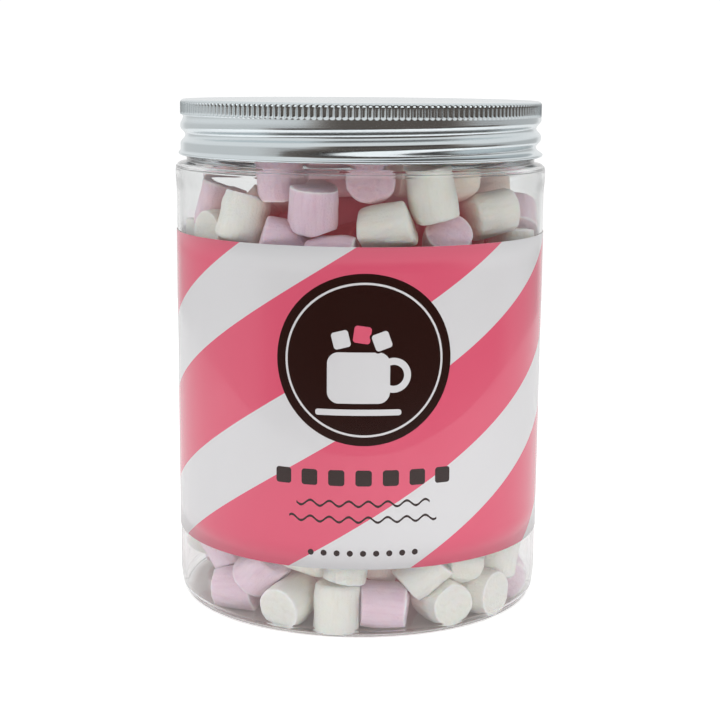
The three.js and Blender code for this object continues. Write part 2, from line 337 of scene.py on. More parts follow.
def heel_outline():
    """The rounded heel from the foot ring up to the wall, with its mould ridges."""
    centre = (FOOT_RADII[1], HEEL_HEIGHT)
    size = (BODY_RADIUS - FOOT_RADII[1], HEEL_HEIGHT)
    ridge_size = (size[0] + HEEL_RIDGE, size[1] + HEEL_RIDGE)
    points = []
    start = -90
    for ridge, steps in HEEL_RIDGES:
        points += arc(centre, size, start, ridge - RIDGE_FOOT, steps)
        points += arc(centre, ridge_size, ridge - RIDGE_CREST, ridge + RIDGE_CREST, 1)
        start = ridge + RIDGE_FOOT
    return points + arc(centre, size, start, 0, HEEL_LAST_STEPS)


bead_outline = []
for i in range(BEAD_STEPS):
    swell = BEAD * (1 - math.cos(math.pi * i / BEAD_STEPS)) / 2
    bead_outline.append((BODY_RADIUS + swell, SHOULDER + BEAD_RISE * i / BEAD_STEPS))
neck_bead_round = (NECK_BEAD_ROUND, NECK_BEAD_ROUND)
jar_outside = (
    base_outline(0) + heel_outline() + [(BODY_RADIUS, z) for z in WALL_ROWS] + bead_outline
    + arc(
        (BODY_RADIUS - BEAD_CROWN[0], SHOULDER + BEAD_RISE), (BEAD + BEAD_CROWN[0], BEAD_CROWN[1]),
        0, 50, 5,
    )
    + arc((BODY_RADIUS - LEDGE[0], SHOULDER + LEDGE_RISE), LEDGE, 15, 80, 6)
    + arc(
        (NECK_BEAD_RADIUS + NECK_BEAD_ROUND, NECK_BEAD_TOP - NECK_BEAD_FOOT), neck_bead_round,
        260, 180, 4,
    )
    + arc((NECK_BEAD_RADIUS - NECK_BEAD_ROUND, NECK_BEAD_TOP), neck_bead_round, 0, 90, 4)
    + [(NECK_RADIUS, NECK_BEAD_TOP + NECK_FOOT), (NECK_RADIUS, RIM)]
)
pet_jar = turned("pet_jar", jar_outside + cavity_outline(), ROUND_STEPS)

# Clear PET: hard, glossy and colourless, so it shows its rims and the room at a glancing angle.
# Lamps reach the sweets straight through the wall, as they do through so thin a skin.
clear_pet = blank_material("clear_pet")
tree = clear_pet.node_tree
where = node(tree, "TexCoord").outputs["Object"]
ripple = node(
    tree, "TexNoise", links={"Vector": where}, values={"Scale": 35.0, "Detail": 1.0},
).outputs["Fac"]
uneven = node(
    tree, "Bump", links={"Height": ripple}, values={"Strength": 0.06, "Distance": 0.0006},
).outputs["Normal"]
plastic = node(
    tree, "BsdfPrincipled", links={"Normal": uneven},
    values={
        "Base Color": hexed("#FDFEFE"), "Roughness": 0.02, "IOR": 1.57, "Transmission Weight": 1.0,
        "Sheen Weight": 0.16, "Sheen Roughness": 0.35,
    },
).outputs["BSDF"]
straight_through = node(tree, "BsdfTransparent", values={"Color": hexed(WHITE)}).outputs["BSDF"]
from_lamp = node(tree, "LightPath").outputs["Is Shadow Ray"]
clear_wall = node(
    tree, "MixShader", links={0: from_lamp, 1: plastic, 2: straight_through},
).outputs["Shader"]
node(tree, "OutputMaterial", links={"Surface": clear_wall})
pet_jar.data.materials.append(clear_pet)
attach(pet_jar, "root")
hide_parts("jar")


# The marshmallows: short sticks of whipped sugar and gelatine, extruded, cut and dusted, so each
# is a soft-edged cylinder a little out of true. They lie as poured, pressed against the wall.
PIECE_RADIUS = 6.2
PIECE_LENGTH = 12.5
PIECE_EDGE = 1.3
PIECE_GAP = 0.08
WALL_CLEARANCE = 0.5
LOWER_BAND = {"floor": 0.7, "top": 22, "dip": 0}
UPPER_BAND = {"floor": 92, "top": 114.5, "dip": 12}
INNER_LAYERS = (
    {"floor": 2, "top": 24, "dip": 0, "set_back": 11.5},
    {"floor": 94, "top": 119, "dip": 12, "set_back": 11.5},
    {"floor": 104, "top": 120, "dip": 12, "set_back": 23},
)
DIP_ANGLE = 235
NEAR = 15
LENGTH_SPREAD = 0.12
SQUASH = 0.93
DROP_STEP = 0.5
TRIES = 60
SEED = 7
COLOURS = ("white", "pink")

# Colour, degrees round the jar from the front, height of the middle, degrees of the axis from +X
# and above the level, distance back from the wall, length
FRONT_PIECES = [
    ("white", -84, 6.9, 10, 5, 8, 12.5),
    ("pink", -51.5, 6.7, -17, 0, 0, 11.5),
    ("white", -24.5, 6.7, 60, 9, 0, 13),
    ("white", -7, 6.9, 0, 87, 0, 13),
    ("pink", 9.5, 6.7, -4, -2, 0, 12.5),
    ("white", 31, 6.7, 120, 0, 0, 12.5),
    ("white", 48.7, 6.8, 140, 0, 0, 12.5),
    ("pink", 74, 7.3, 100, 15, 0, 12.5),
    ("pink", -58.5, 16.4, 0, 120, 0, 12.5),
    ("pink", -35.5, 15, -42, 40, 0, 12.5),
    ("white", -19, 20.5, 10, -22, 1.5, 12.5),
    ("white", -3.5, 20, 0, 80, 1, 12.5),
    ("white", 23.5, 14.9, 5, 46, 0, 12.5),
    ("white", 39, 16.4, 30, -10, 1, 12.5),
    ("white", 61.5, 14.9, 0, 85, 0, 12.5),
    ("pink", -75, 109.9, 0, 78, 3, 13),
    ("white", -66, 103.2, 40, 0, 2.5, 12.5),
    ("white", -45, 108.4, 0, 77, 0, 12.5),
    ("white", -58.5, 108.5, 0, 45, 9, 12.5),
    ("pink", -32.3, 119.3, 0, 95, 5, 12.5),
    ("pink", -16, 111.2, -73, 80, 0, 12),
    ("pink", -27.5, 102, 0, -15, 0, 12.5),
    ("pink", -9.4, 98.7, -15, 0, 0, 12.5),
    ("pink", 4, 119, 90, 0, 7, 12.5),
    ("white", 9, 107, -10, 12.5, 0, 13.3),
    ("white", 25, 114.8, 180, 78, 0, 13.5),
    ("pink", 32.7, 101.5, -85, 40, 0, 12.5),
    ("white", 53.5, 109.2, 32, 8, 0, 12.8),
    ("white", 74, 116, 40, 10, 8, 12.5),
    ("pink", 88, 106.4, 90, 40, 0, 12.5),
]

# Pieces high in the heap and some way back from the wall, by the same values
HIDDEN_PIECES = [
    ("pink", -15, 120.3, 10, 0, 11, 12.5),
    ("white", 7, 121, -10, 0, 13, 12.5),
    ("white", 24, 121, 30, 0, 9, 12.5),
    ("white", 41, 118.6, 30, 8, 7, 12.5),
    ("white", -46, 116.4, 20, 40, 14, 12.5),
    ("white", 62, 119, 60, 20, 18, 12.5),
    ("pink", -30, 119.5, 20, 10, 17, 12.5),
]


def fixed_draws(seed):
    """An endless run of numbers from 0 to 1, the same each time: a linear congruence."""
    while True:
        seed = (seed * 1664525 + 1013904223) % 2**32
        yield seed / 2**32


def reach(piece, way):
    """How far a marshmallow reaches from its middle along a direction."""
    along = abs(piece["axis"].dot(way))
    across = math.sqrt(max(0, 1 - along * along))
    ends = (piece["length"] / 2 - PIECE_EDGE) * along
    return ends + (PIECE_RADIUS - PIECE_EDGE) * across + PIECE_EDGE


def marshmallow(colour, angle, height, azimuth, tilt, set_back, length):
    """A marshmallow against the wall at an angle, its axis turned and tilted."""
    turn, lean = math.radians(azimuth), math.radians(tilt)
    flat = math.cos(lean)
    axis = Vector((math.cos(turn) * flat, math.sin(turn) * flat, math.sin(lean)))
    outward = Vector((math.sin(math.radians(angle)), -math.cos(math.radians(angle)), 0))
    piece = {"colour": colour, "axis": axis, "length": length}
    wall = BODY_RADIUS - WALL - WALL_CLEARANCE
    piece["middle"] = outward * (wall - reach(piece, outward) - set_back)
    piece["middle"].z = height
    return piece


def crowds(piece, other):
    """Whether two marshmallows lie closer than soft ones may."""
    between = other["middle"] - piece["middle"]
    distance = between.length
    between /= distance
    return distance < SQUASH * (reach(piece, between) + reach(other, between))


def fill_band(floor, top, dip, set_back=0):
    """Drops marshmallows, each to the lowest of many places, till the band is full. Its top dips
    by up to `dip` about one direction."""
    while True:
        lowest = None
        for _ in range(TRIES):
            angle, azimuth, tilt = 360 * next(draws), 360 * next(draws), 180 * next(draws) - 90
            length = PIECE_LENGTH * (1 + LENGTH_SPREAD * (next(draws) - 0.5))
            colour = COLOURS[len(heap) % 2]
            piece = marshmallow(colour, angle, floor, azimuth, tilt, set_back, length)
            middle = piece["middle"]
            near = [o for o in heap if (o["middle"] - middle).xy.length < NEAR]
            local_top = top - dip * max(0, math.cos(math.radians(angle - DIP_ANGLE)))
            ceiling = min(lowest["middle"].z, local_top) if lowest else local_top
            middle.z += reach(piece, Vector((0, 0, 1)))
            while middle.z < ceiling and any(crowds(piece, other) for other in near):
                middle.z += DROP_STEP
            if middle.z < ceiling:
                lowest = piece
        if not lowest:
            return
        heap.append(lowest)


draws = fixed_draws(SEED)
heap = [marshmallow(*values) for values in FRONT_PIECES]
fill_band(**LOWER_BAND)
fill_band(**UPPER_BAND)
heap += [marshmallow(*values) for values in HIDDEN_PIECES]
for layer in INNER_LAYERS:
    fill_band(**layer)

# How soft pieces differ from true cylinders, in mm and in shares of their size
PIECE_SIDES = 32
SIDE_CUTS = 8
EDGE_STEPS = 5
EDGE_MIDDLE = 0.7
EDGE_SPREAD = 1.8
EDGE_LIMITS = (0.3, 1.2)
END_RINGS = 3
END_RING_WIDTH = 0.27
OVAL = 0.06
ASKEW = 0.16
PINCH_FROM = 0.4
PINCH = (0.10, 0.25)
LIP_PLACE = 1.39
LIP_DEPTH = 0.2
LIP_SHARPNESS = 6
DENT_SIZE = 0.13
DENT_DEPTH = 0.5
CREASE_SIZE = (0.7, 0.7, 0.25)
CREASE_DEPTH = 0.2
SPIN = 2.4
RIM_WIDTH = 0.42
NEIGHBOUR_REACH = 1.5

# Steps through the noise from piece to piece and from end to end, so that no two are alike
PIECE_STEP = (7.3, 3.1, 1.7)
END_STEP = 9
RIM_STEP = (5.1, 2.3, 4.7)


def soften(bm, number, piece):
    """Pulls one marshmallow out of true: oval, cut askew, dented, and pinched where it was cut."""
    own = Vector(PIECE_STEP) * number
    half = piece["length"] / 2
    oval = 1 + OVAL * noise.noise(own)
    ends = {side: noise.noise(own + Vector((0, 0, END_STEP * side))) for side in (-1, 1)}
    for vert in bm.verts:
        p = vert.co / MM
        side = 1 if p.z > 0 else -1
        near_end = abs(p.z) / half
        wander = ends[side]
        narrow = max(0, near_end - PINCH_FROM) ** 2 * (PINCH[0] + PINCH[1] * wander)
        p.x *= oval * (1 - narrow)
        p.y *= (1 - narrow) / oval
        p.z += near_end * ASKEW * wander * p.x
        from_lip = (half - abs(p.z)) / LIP_PLACE - 1
        lip = math.exp(-(from_lip**2) * LIP_SHARPNESS) * max(0, wander + 0.1)
        dent = noise.noise(own + p * DENT_SIZE)
        crease = noise.noise(own + p * Vector(CREASE_SIZE))
        p += vert.normal * (DENT_DEPTH * dent + CREASE_DEPTH * crease - LIP_DEPTH * lip)
        vert.co = p * MM


def press(bm, number):
    """Flattens one marshmallow where it meets its neighbours, the wall and the floor."""
    piece = heap[number]
    for other in heap:
        between = other["middle"] - piece["middle"]
        distance = between.length
        if other is piece or distance > NEIGHBOUR_REACH * PIECE_LENGTH:
            continue
        between /= distance
        own_reach = reach(piece, between)
        share = own_reach / (own_reach + reach(other, between))
        plane = piece["middle"].dot(between) + share * distance
        for vert in bm.verts:
            past = vert.co.dot(between) / MM - plane + PIECE_GAP
            if past > 0:
                vert.co -= between * past * MM
    limit = BODY_RADIUS - WALL - PIECE_GAP
    for vert in bm.verts:
        out = vert.co.xy.length / MM
        if out > limit:
            vert.co.xy *= limit / out
        vert.co.z = max(vert.co.z, (FOOT_FLOOR + PIECE_GAP) * MM)


def cut_stick(number, length):
    """One true marshmallow round the origin: a cylinder whose two rims are blunt to their own
    degree, with rings on its ends."""
    bm = bmesh.new()
    bmesh.ops.create_cone(
        bm, cap_ends=True, segments=PIECE_SIDES, radius1=PIECE_RADIUS * MM,
        radius2=PIECE_RADIUS * MM, depth=length * MM,
    )
    sides = [e for e in bm.edges if all(len(f.verts) == 4 for f in e.link_faces)]
    bmesh.ops.subdivide_edges(bm, edges=sides, cuts=SIDE_CUTS, use_grid_fill=True)
    for side in (-1, 1):
        rim = [
            e for e in bm.edges
            if any(len(f.verts) > 4 for f in e.link_faces) and e.verts[0].co.z * side > 0
        ]
        own = Vector((RIM_STEP[0] * number, RIM_STEP[1], RIM_STEP[2] * side))
        blunt = EDGE_MIDDLE + EDGE_SPREAD * noise.noise(own)
        blunt = min(EDGE_LIMITS[1], max(EDGE_LIMITS[0], blunt))
        bmesh.ops.bevel(
            bm, geom=rim, offset=blunt * MM, segments=EDGE_STEPS, profile=0.5, affect="EDGES",
            material=-1,
        )
    caps = [f for f in bm.faces if len(f.verts) > 4]
    ring_width = END_RING_WIDTH * (PIECE_RADIUS - PIECE_EDGE) * MM
    for _ in range(END_RINGS):
        bmesh.ops.inset_region(bm, faces=caps, thickness=ring_width)
    bm.normal_update()
    return bm


def heap_piece(name, colour):
    """All marshmallows of a colour as one object. Each keeps its own place in the foam, and how
    near each point is to the rim where it was cut."""
    bm = bmesh.new()
    bm.verts.layers.float_vector.new("own_place")
    bm.verts.layers.float.new("cut_rim")
    for number, piece in enumerate(heap):
        if piece["colour"] != colour:
            continue
        one = cut_stick(number, piece["length"])
        own_place = one.verts.layers.float_vector.new("own_place")
        cut_rim = one.verts.layers.float.new("cut_rim")
        for vert in one.verts:
            vert[own_place] = vert.co + Vector((number, 0, 0)) * PIECE_LENGTH * MM
            from_side = PIECE_RADIUS - vert.co.xy.length / MM
            from_end = piece["length"] / 2 - abs(vert.co.z) / MM
            vert[cut_rim] = math.exp(-(from_side**2 + from_end**2) / RIM_WIDTH**2)
        soften(one, number, piece)
        turn = piece["axis"].to_track_quat("Z", "Y").to_matrix().to_4x4()
        spin = Matrix.Rotation(SPIN * number, 4, "Z")
        place = Matrix.Translation(piece["middle"] * MM) @ turn @ spin
        bmesh.ops.transform(one, matrix=place, verts=one.verts)
        press(one, number)
        bmesh.ops.recalc_face_normals(one, faces=one.faces)
        mesh = bpy.data.meshes.new(name)
        one.to_mesh(mesh)
        one.free()
        bm.from_mesh(mesh)
        bpy.data.meshes.remove(mesh)
    made = placed(name, bm)
    made.data.shade_smooth()
    return made


# Marshmallow: aerated sugar foam dusted with starch. It is dull, lets light in a little way, and
# has fine streaks that the nozzle drew along it. Along each cut rim it has a painted highlight: a
# paler colour and a faint glow. Towards the heap's middle it has painted shade, first cream and
# then rose, with a painted rose glow, for the light there has come through the pink print and the
# pink sweets.
WHITE_FOAM = {"colour": "#FCFBF4", "shade": "#F7F6EC", "streak": "#EAE5D6"}
PINK_FOAM = {"colour": "#F8E1ED", "shade": "#F0D5E4", "streak": "#DDB3CB"}
STREAK_FADE = (0.48, 0.68)
STREAK_SHARE = 0.28
# A painted highlight along each cut rim: the colour turns paler there and glows faintly.
RIM_HIGHLIGHT_TONE = "#FFFCFB"
RIM_HIGHLIGHT_FADE = (0.3, 0.85)
RIM_HIGHLIGHT_SHARE = 0.65
RIM_HIGHLIGHT_GLOW = 0.07
# Painted shade towards the heap's middle: cream, then rose, multiplied in between two distances from
# the axis in mm; and a painted rose glow there.
CREAM_SHADE = "#EFD8CA"
CREAM_SHADE_DEPTHS = (47, 39)
ROSE_SHADE = "#C45A64"
ROSE_SHADE_DEPTHS = (44, 36)
ROSE_LIGHT = "#C0626C"
ROSE_GLOW = 0.14

# Heights from and to, and the share of the painted cream and rose shade that shows at each
SHADE_BY_HEIGHT = ((24, 60, 0.3, 1.0), (108, 116, 1.0, 0.35))


def marshmallow_foam(name, colour, shade, streak):
    """The foam in one colour, clouded with a second and streaked with a third."""
    foam = blank_material(name)
    tree = foam.node_tree
    where = node(tree, "TexCoord").outputs["Object"]
    own = node(tree, "Attribute", attribute_name="own_place").outputs["Vector"]
    cloud = node(tree, "TexNoise", links={"Vector": own}, values={"Scale": 180.0, "Detail": 2.0})
    tint = node(
        tree, "Mix", data_type="RGBA", links={"Factor": cloud.outputs["Fac"]},
        values={"A": hexed(colour), "B": hexed(shade)},
    ).outputs["Result"]
    drawn = node(
        tree, "Mapping", links={"Vector": own}, values={"Scale": (1.0, 1.0, 0.18)},
    ).outputs["Vector"]
    drag = node(tree, "TexNoise", links={"Vector": drawn}, values={"Scale": 750.0, "Detail": 3.0})
    streaked = node(
        tree, "MapRange", links={"Value": drag.outputs["Fac"]},
        values={
            "From Min": STREAK_FADE[0], "From Max": STREAK_FADE[1],
            "To Min": 0.0, "To Max": STREAK_SHARE,
        },
    ).outputs["Result"]
    tint = node(
        tree, "Mix", data_type="RGBA", links={"Factor": streaked, "A": tint},
        values={"B": hexed(streak)},
    ).outputs["Result"]
    # Painted highlight: the colour turns paler along the cut rim.
    cut_rim = node(tree, "Attribute", attribute_name="cut_rim").outputs["Fac"]
    rim = node(
        tree, "MapRange", links={"Value": cut_rim},
        values={"From Min": RIM_HIGHLIGHT_FADE[0], "From Max": RIM_HIGHLIGHT_FADE[1], "To Min": 0.0, "To Max": RIM_HIGHLIGHT_SHARE},
    ).outputs["Result"]
    tint = node(
        tree, "Mix", data_type="RGBA", links={"Factor": rim, "A": tint},
        values={"B": hexed(RIM_HIGHLIGHT_TONE)},
    ).outputs["Result"]
    # Painted shade: towards the heap's middle the colour is multiplied with cream, then rose, by a
    # share that changes with height.
    level = node(tree, "VectorMath", operation="MULTIPLY", links={0: where}, values={1: (1, 1, 0)})
    from_axis = node(
        tree, "VectorMath", operation="LENGTH", links={0: level.outputs["Vector"]},
    ).outputs["Value"]
    height = node(tree, "SeparateXYZ", links={"Vector": where}).outputs["Z"]
    shares = [
        node(
            tree, "MapRange", links={"Value": height},
            values={"From Min": low * MM, "From Max": high * MM, "To Min": start, "To Max": end},
        ).outputs["Result"]
        for low, high, start, end in SHADE_BY_HEIGHT
    ]
    share = node(tree, "Math", operation="MULTIPLY", links={0: shares[0], 1: shares[1]}).outputs[0]
    cream_shade, rose_shade = (
        node(
            tree, "MapRange", interpolation_type="SMOOTHSTEP",
            links={"Value": from_axis, "To Max": share},
            values={"From Min": near * MM, "From Max": far * MM, "To Min": 0.0},
        ).outputs["Result"]
        for near, far in (CREAM_SHADE_DEPTHS, ROSE_SHADE_DEPTHS)
    )
    for depth, painted_shade in ((cream_shade, CREAM_SHADE), (rose_shade, ROSE_SHADE)):
        tint = node(
            tree, "Mix", data_type="RGBA", blend_type="MULTIPLY",
            links={"Factor": depth, "A": tint}, values={"B": hexed(painted_shade)},
        ).outputs["Result"]
    lines = node(
        tree, "Bump", links={"Height": drag.outputs["Fac"]},
        values={"Strength": 0.6, "Distance": 0.0006},
    ).outputs["Normal"]
    crumb = node(tree, "TexNoise", links={"Vector": own}, values={"Scale": 1800.0, "Detail": 4.0})
    dust = node(
        tree, "Bump", links={"Height": crumb.outputs["Fac"], "Normal": lines},
        values={"Strength": 0.5, "Distance": 0.0005},
    ).outputs["Normal"]
    # Painted glow: faint along the cut rim where there is no rose shade, and rose deep in the heap.
    not_rose = node(
        tree, "Math", operation="SUBTRACT", values={0: 1.0}, links={1: rose_shade},
    ).outputs[0]
    lit_rim = node(tree, "Math", operation="MULTIPLY", links={0: rim, 1: not_rose}).outputs[0]
    rose_glow = node(
        tree, "Math", operation="MULTIPLY", links={0: rose_shade}, values={1: ROSE_GLOW},
    ).outputs[0]
    glow = node(
        tree, "Math", operation="MULTIPLY_ADD", links={0: lit_rim, 2: rose_glow},
        values={1: RIM_HIGHLIGHT_GLOW},
    ).outputs[0]
    glow_tint = node(
        tree, "Mix", data_type="RGBA", links={"Factor": rose_shade},
        values={"A": hexed(WHITE), "B": hexed(ROSE_LIGHT)},
    ).outputs["Result"]
    body = node(
        tree, "BsdfPrincipled",
        links={
            "Base Color": tint, "Normal": dust, "Emission Strength": glow,
            "Emission Color": glow_tint,
        },
        values={
            "Roughness": 0.85, "IOR": 1.4, "Specular IOR Level": 0.2,
            "Subsurface Weight": 0.7, "Subsurface Scale": 0.0018,
            "Subsurface Radius": (1.0, 0.7, 0.55),
        },
    ).outputs["BSDF"]
    node(tree, "OutputMaterial", links={"Surface": body})
    return foam


white_ones = heap_piece("white_marshmallows", "white")
pink_ones = heap_piece("pink_marshmallows", "pink")
white_ones.data.materials.append(marshmallow_foam("white_marshmallow_foam", **WHITE_FOAM))
pink_ones.data.materials.append(marshmallow_foam("pink_marshmallow_foam", **PINK_FOAM))

# The middle of the heap, where marshmallows are packed too deep to see: one turned shape in a dark
# rose colour with a faint rose glow, painted shade and painted light for the light that gets in
# there, which has passed through many pink ones and comes back deep rose.
CORE_STEPS = 48
CORE_LIFT = 0.3
CORE_BOTTOM = [(28, 2.8), (31, 5), (31, 24)]
CORE_WAIST = [(40, 32), (44, 40), (44, 80), (40, 90)]
CORE_HEAD = [(31, 96), (30, 108), (24, 113), (0, 115)]

core_start = [(0, FOOT_FLOOR + PUSH_UP + CORE_LIFT)]
core = turned("heap_core", core_start + CORE_BOTTOM + CORE_WAIST + CORE_HEAD, CORE_STEPS)
rose_shade_core = blank_material("painted_rose_shade_of_heap")
tree = rose_shade_core.node_tree
rough = node(
    tree, "TexNoise", links={"Vector": node(tree, "TexCoord").outputs["Object"]},
    values={"Scale": 90.0, "Detail": 2.0},
).outputs["Fac"]
core_shade_tint = node(
    tree, "Mix", data_type="RGBA", links={"Factor": rough},
    values={"A": hexed("#B86A72"), "B": hexed("#9E505A")},
).outputs["Result"]
# A painted rose glow, though nothing here is a lamp.
rose_shade_and_glow = node(
    tree, "BsdfPrincipled", links={"Base Color": core_shade_tint},
    values={"Roughness": 1.0, "Emission Color": hexed("#C0606A"), "Emission Strength": 0.2},
).outputs["BSDF"]
node(tree, "OutputMaterial", links={"Surface": rose_shade_and_glow})
core.data.materials.append(rose_shade_core)
for piece in (white_ones, pink_ones, core):
    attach(piece, "root")
    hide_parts("marshmallows")


# The label: one strip of coated paper, printed flat and glued round the jar, its end lapped over
# its start at the back.
LABEL_BOTTOM = 19.1
LABEL_TOP = 102.7
LABEL_GAP = 0.06
LABEL_THICKNESS = 0.12
LABEL_LAP = 14
LAP_START = 358.5
LAP_RISE = 1.5
LABEL_STEPS = 374
LABEL_ROWS = 12

label_turn = 360 + LABEL_LAP
label_height = LABEL_TOP - LABEL_BOTTOM
label_length = math.radians(label_turn) * BODY_RADIUS
bm = bmesh.new()
bmesh.ops.create_grid(
    bm, x_segments=LABEL_STEPS, y_segments=LABEL_ROWS, size=0.5, calc_uvs=True,
)
flat = bm.loops.layers.uv.verify()
for face in bm.faces:
    for loop in face.loops:
        loop[flat].uv = (loop.vert.co.x + 0.5, loop.vert.co.y + 0.5)
for vert in bm.verts:
    turn = (vert.co.x + 0.5) * label_turn
    step = min(1, max(0, (turn - LAP_START) / LAP_RISE))
    radius = BODY_RADIUS + LABEL_GAP + step * (LABEL_THICKNESS + LABEL_GAP / 2)
    angle = math.radians(turn - 180)
    z = LABEL_BOTTOM + (vert.co.y + 0.5) * label_height
    vert.co = Vector((radius * math.sin(angle), -radius * math.cos(angle), z)) * MM
bmesh.ops.recalc_face_normals(bm, faces=bm.faces)
paper_label = placed("paper_label", bm)
paper_label.data.shade_smooth()
sheet = paper_label.modifiers.new("paper", "SOLIDIFY")
sheet.thickness = LABEL_THICKNESS * MM
sheet.offset = 1
sheet.material_offset_rim = 1

# Coated paper, offset printed and lacquered: a low even sheen, flat inks, and a slight cockle
# where it is glued. A little light comes through, and its inner side shows the same print.
PINK_INK = "#DE5C77"
BROWN_INK = "#260C08"
PAPER_WHITE = "#DADADC"
LIGHT_THROUGH = 0.12
STRIPE_RISE = 0.63
STRIPE_PITCH = 46.4
STRIPE_PINK = 26.2
STRIPE_START = 77
DISC_PLACE = (1.4, 74)
DISC_RADII = (22.8, 22.1)
RING_AT = 0.885
RING_HALF = 0.0125
CUP = {"centre": (-1.5, 69.5), "half": (8, 6.6), "corner": 3}
SAUCER = {"centre": (-1.5, 60.6), "half": (11, 0.8), "corner": 0.7}
HANDLE_PLACE = (7.4, 70.2, 0)
HANDLE_RADIUS = 3.6
HANDLE_HALF = 0.9
CUBES = (
    {"centre": (-6, 79.3), "turn": 14, "ink": PAPER_WHITE},
    {"centre": (-0.6, 80.6), "turn": -8, "ink": PINK_INK},
    {"centre": (4.4, 79), "turn": 20, "ink": PAPER_WHITE},
)
CUBE_RIM = {"half": (2.7, 2.7), "corner": 1}
CUBE_FACE = {"half": (2.2, 2.2), "corner": 0.8}
SQUARES = {"pitch": 7, "half_width": 24.4, "level": 43.4, "half": (2.1, 2.1), "corner": 0.8}
DOTS = {"pitch": 3.4, "half_width": 15.2, "level": 23.4, "half": (0.8, 0.8), "corner": 0.8}
WAVE_LEVELS = ((36.6, 17.5), (32.4, 19.5))
WAVE_LENGTH = 5
WAVE_DEPTH = 0.7
WAVE_HALF = 0.32

# Whole pitches added to a place on the label before it is cut into cells, so it stays above 0
SPARE_PITCHES = 10

coated_paper = blank_material("coated_label_paper")
tree = coated_paper.node_tree
printed = node(tree, "SeparateXYZ", links={"Vector": node(tree, "UVMap").outputs["UV"]})


def math_of(operation, first, second=0.0, third=0.0):
    """One sum on sockets or plain numbers, in the current tree."""
    made = node(tree, "Math", operation=operation)
    for i, value in enumerate((first, second, third)):
        if isinstance(value, (int, float)):
            made.inputs[i].default_value = value
        else:
            tree.links.new(value, made.inputs[i])
    return made.outputs[0]


label_front = label_length * 180 / label_turn
across = math_of("MULTIPLY_ADD", printed.outputs["X"], label_length, -label_front)
up = math_of("MULTIPLY_ADD", printed.outputs["Y"], label_height, LABEL_BOTTOM)
x = math_of("SUBTRACT", across, DISC_PLACE[0])
place = node(tree, "CombineXYZ", links={"X": x, "Y": up}).outputs["Vector"]


def inside(centre, half, corner, turn=0, point=place):
    """Where a printed box with round corners lies, as 1 inside and 0 outside."""
    local = node(
        tree, "Mapping", vector_type="TEXTURE", links={"Vector": point},
        values={"Location": (*centre, 0), "Rotation": (0, 0, math.radians(turn))},
    ).outputs["Vector"]
    folded = node(tree, "VectorMath", operation="ABSOLUTE", links={0: local}).outputs["Vector"]
    past = node(
        tree, "VectorMath", operation="SUBTRACT", links={0: folded},
        values={1: (half[0] - corner, half[1] - corner, 0)},
    ).outputs["Vector"]
    outer = node(
        tree, "VectorMath", operation="MAXIMUM", links={0: past}, values={1: (0, 0, 0)},
    ).outputs["Vector"]
    away = node(tree, "VectorMath", operation="LENGTH", links={0: outer}).outputs["Value"]
    return math_of("LESS_THAN", away, corner)


def inked(paper, mask, colour):
    """The paper's colour with an ink laid over it where the mask is 1."""
    mixed = node(tree, "Mix", data_type="RGBA", links={"Factor": mask, "A": paper})
    mixed.inputs["B"].default_value = hexed(colour)
    return mixed.outputs["Result"]


slant = math_of("MULTIPLY_ADD", across, -STRIPE_RISE, up)
cycle = math_of("SUBTRACT", slant, STRIPE_START - SPARE_PITCHES * STRIPE_PITCH)
cycle = math_of("FRACT", math_of("DIVIDE", cycle, STRIPE_PITCH))
stripes = math_of("LESS_THAN", cycle, STRIPE_PINK / STRIPE_PITCH)
bare = node(tree, "RGB")
bare.outputs[0].default_value = hexed(PAPER_WHITE)
print_colour = inked(bare.outputs[0], stripes, PINK_INK)

disc_place = node(
    tree, "Mapping", vector_type="TEXTURE", links={"Vector": place},
    values={"Location": (0, DISC_PLACE[1], 0), "Scale": (*DISC_RADII, 1)},
).outputs["Vector"]
from_disc = node(tree, "VectorMath", operation="LENGTH", links={0: disc_place}).outputs["Value"]
print_colour = inked(print_colour, math_of("LESS_THAN", from_disc, 1), BROWN_INK)
ring = math_of("COMPARE", from_disc, RING_AT, RING_HALF)
from_handle = node(
    tree, "VectorMath", operation="DISTANCE", links={0: place}, values={1: HANDLE_PLACE},
).outputs["Value"]
handle = math_of("COMPARE", from_handle, HANDLE_RADIUS, HANDLE_HALF)
for mask in (ring, handle, inside(**CUP), inside(**SAUCER)):
    print_colour = inked(print_colour, mask, PAPER_WHITE)
for cube in CUBES:
    spot = {"centre": cube["centre"], "turn": cube["turn"]}
    print_colour = inked(print_colour, inside(**spot, **CUBE_RIM), BROWN_INK)
    print_colour = inked(print_colour, inside(**spot, **CUBE_FACE), cube["ink"])


def within(half_width):
    """Where a place is within a distance of the disc's middle line, as 1 inside and 0 outside."""
    return math_of("LESS_THAN", math_of("ABSOLUTE", x), half_width)


def row_of_marks(pitch, half_width, level, half, corner):
    """A printed row of like marks about the disc's middle line, as 1 inside and 0 outside."""
    cell = math_of("DIVIDE", math_of("ADD", x, (SPARE_PITCHES + 0.5) * pitch), pitch)
    along = math_of("MULTIPLY_ADD", math_of("FRACT", cell), pitch, -pitch / 2)
    point = node(tree, "CombineXYZ", links={"X": along, "Y": math_of("SUBTRACT", up, level)})
    marks = inside((0, 0), half, corner, point=point.outputs["Vector"])
    return math_of("MULTIPLY", marks, within(half_width))


for row in (SQUARES, DOTS):
    print_colour = inked(print_colour, row_of_marks(**row), BROWN_INK)
for level, half_width in WAVE_LEVELS:
    wave = math_of("SINE", math_of("MULTIPLY", x, 2 * math.pi / WAVE_LENGTH))
    line = math_of("SUBTRACT", up, math_of("MULTIPLY", wave, WAVE_DEPTH))
    line = math_of("COMPARE", line, level, WAVE_HALF)
    print_colour = inked(print_colour, math_of("MULTIPLY", line, within(half_width)), BROWN_INK)

